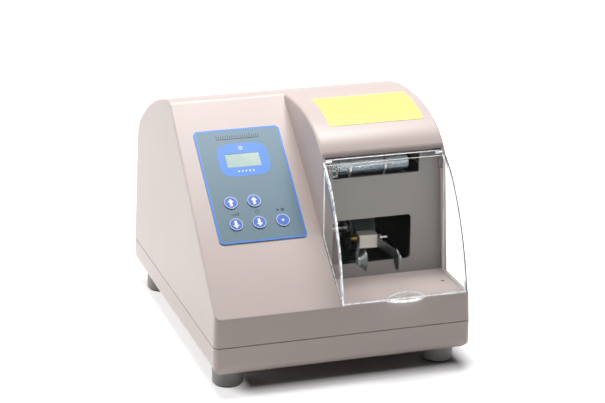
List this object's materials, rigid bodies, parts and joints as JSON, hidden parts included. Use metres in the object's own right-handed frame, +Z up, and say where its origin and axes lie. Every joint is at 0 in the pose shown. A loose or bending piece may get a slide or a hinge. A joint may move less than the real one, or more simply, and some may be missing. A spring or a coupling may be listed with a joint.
{
  "type": "dental amalgamator",
  "caption": "Bench-top amalgamator with a sloped keypad panel, a clear hinged lid and a spring fork that shakes a capsule",
  "frame": {"origin": "centre of the whole's length and width, on the surface it stands on", "axes": "+Z up, -Y to the front where the lid and keypad face, +X to the right side with the lid"},
  "size_m": [0.23, 0.2992, 0.2123],
  "materials": {
    "case": "satin warm grey moulding",
    "foot_grey": "satin",
    "rubber": "matt",
    "steel": "zinc plated",
    "label": "satin film",
    "clear": "clear moulded acrylic",
    "black": "fine texture",
    "overlay": "satin printed film",
    "lcd": "clear lens over the display",
    "board": "solder mask",
    "motor_steel": "rolled",
    "alloy": "satin",
    "bronze": "turned",
    "copper": "enamelled winding in resin",
    "plated": "zinc plated sheet",
    "ground_steel": "ground",
    "dark_metal": "blackened",
    "spring_steel": "polished",
    "clear_glass": "clear",
    "bright_metal": "bright",
    "winding_tape": "tape",
    "key": "satin domes"
  },
  "bodies": {
    "chassis": {"base_tray": "case", "feet": "foot_grey", "foot_pads": "rubber", "foot_screws": "steel", "case_screws": "steel", "upper_housing": "case", "chamber_panel": "case", "roof_label": "label", "hinge_pins": "steel", "lid_sensor": "black", "keypad_overlay": "overlay", "display": "lcd", "display_board": "board", "key_switches": "black", "board_screws": "steel", "motor_can": "motor_steel", "motor_front_bell": "alloy", "motor_rear_bell": "alloy", "motor_bushes": "bronze", "stator_core": "motor_steel", "stator_coils": "copper", "motor_bracket": "plated", "rubber_mounts": "rubber", "floor_screws": "steel", "spring_front": "spring_steel", "spring_rear": "spring_steel", "spring_anchor": "plated", "lamp_tube": "clear_glass", "lamp_caps": "bright_metal", "lamp_holder": "plated", "power_board": "board", "filter_capacitors": "black", "transformer_core": "motor_steel", "transformer_coil": "winding_tape", "rocker_frame": "black", "mains_inlet": "black"},
    "lid_body": {"lid": "clear"},
    "rotor": {"rotor_shaft": "ground_steel", "rotor_core": "motor_steel", "cooling_fan": "black", "oblique_sleeve": "ground_steel", "bearing_inner_ring": "ground_steel"},
    "fork": {"bearing_outer_ring": "ground_steel", "fork_hub": "dark_metal", "fork_block": "alloy", "fork_arm_feet": "spring_steel", "clamp_screw": "bronze", "clamp_nut": "bronze"},
    "bearing_set": {"bearing_balls": "ground_steel", "bearing_cage": "bronze"},
    "left_arm": {"fork_arm_left": "spring_steel", "fork_cup_left": "spring_steel"},
    "right_arm": {"fork_arm_right": "spring_steel", "fork_cup_right": "spring_steel"},
    "rocker": {"power_rocker": "black"},
    "key_speed_up_body": {"key_speed_up": "key"},
    "key_speed_down_body": {"key_speed_down": "key"},
    "key_time_up_body": {"key_time_up": "key"},
    "key_time_down_body": {"key_time_down": "key"},
    "key_start_body": {"key_start": "key"}
  },
  "joints": [
    {"name": "lid_hinge", "type": "hinge", "parent": "chassis", "child": "lid_body", "pos_m": [0.054, -0.08271, 0.1793], "axis": [-1, 0, 0], "range_deg": [0, 95]},
    {"name": "motor_spin", "type": "hinge", "parent": "chassis", "child": "rotor", "pos_m": [-0.027, -0.03121, 0.0995], "axis": [1, 0, 0], "continuous": true},
    {"name": "fork_swing", "type": "hinge", "parent": "rotor", "child": "fork", "pos_m": [0.04855, -0.03121, 0.0995], "axis": [0.9945, -0.1045, 0], "continuous": true, "deforming": ["spring_front", "spring_rear"]},
    {"name": "bearing_roll", "type": "hinge", "parent": "rotor", "child": "bearing_set", "pos_m": [0.04855, -0.03121, 0.0995], "axis": [0.9945, -0.1045, 0], "continuous": true},
    {"name": "left_arm_flex", "type": "hinge", "parent": "fork", "child": "left_arm", "pos_m": [0.0351, -0.07404, 0.0995], "axis": [0, 0, -1], "range_deg": [0, 5], "stiffness_Nm_per_rad": 0.5, "springref_deg": -5.73},
    {"name": "right_arm_flex", "type": "hinge", "parent": "fork", "child": "right_arm", "pos_m": [0.0528, -0.0759, 0.0995], "axis": [0, 0, 1], "range_deg": [0, 5], "stiffness_Nm_per_rad": 0.5, "springref_deg": -5.73},
    {"name": "power_rocker_tilt", "type": "hinge", "parent": "chassis", "child": "rocker", "pos_m": [0.002, 0.14422, 0.068], "axis": [1, 0, 0], "range_deg": [0, 24]},
    {"name": "key_speed_up_press", "type": "slide", "parent": "chassis", "child": "key_speed_up_body", "axis": [0, 0.6351, -0.7725], "range_m": [0, 0.0007], "stiffness_N_per_m": 150, "springref_m": -0.0002},
    {"name": "key_speed_down_press", "type": "slide", "parent": "chassis", "child": "key_speed_down_body", "axis": [0, 0.6351, -0.7725], "range_m": [0, 0.0007], "stiffness_N_per_m": 150, "springref_m": -0.0002},
    {"name": "key_time_up_press", "type": "slide", "parent": "chassis", "child": "key_time_up_body", "axis": [0, 0.6351, -0.7725], "range_m": [0, 0.0007], "stiffness_N_per_m": 150, "springref_m": -0.0002},
    {"name": "key_time_down_press", "type": "slide", "parent": "chassis", "child": "key_time_down_body", "axis": [0, 0.6351, -0.7725], "range_m": [0, 0.0007], "stiffness_N_per_m": 150, "springref_m": -0.0002},
    {"name": "key_start_press", "type": "slide", "parent": "chassis", "child": "key_start_body", "axis": [0, 0.6351, -0.7725], "range_m": [0, 0.0007], "stiffness_N_per_m": 150, "springref_m": -0.0002}
  ],
  "couplings": [
    {"joint": "fork_swing", "follows": "motor_spin", "ratio": -1},
    {"joint": "bearing_roll", "follows": "motor_spin", "ratio": -0.60615}
  ]
}
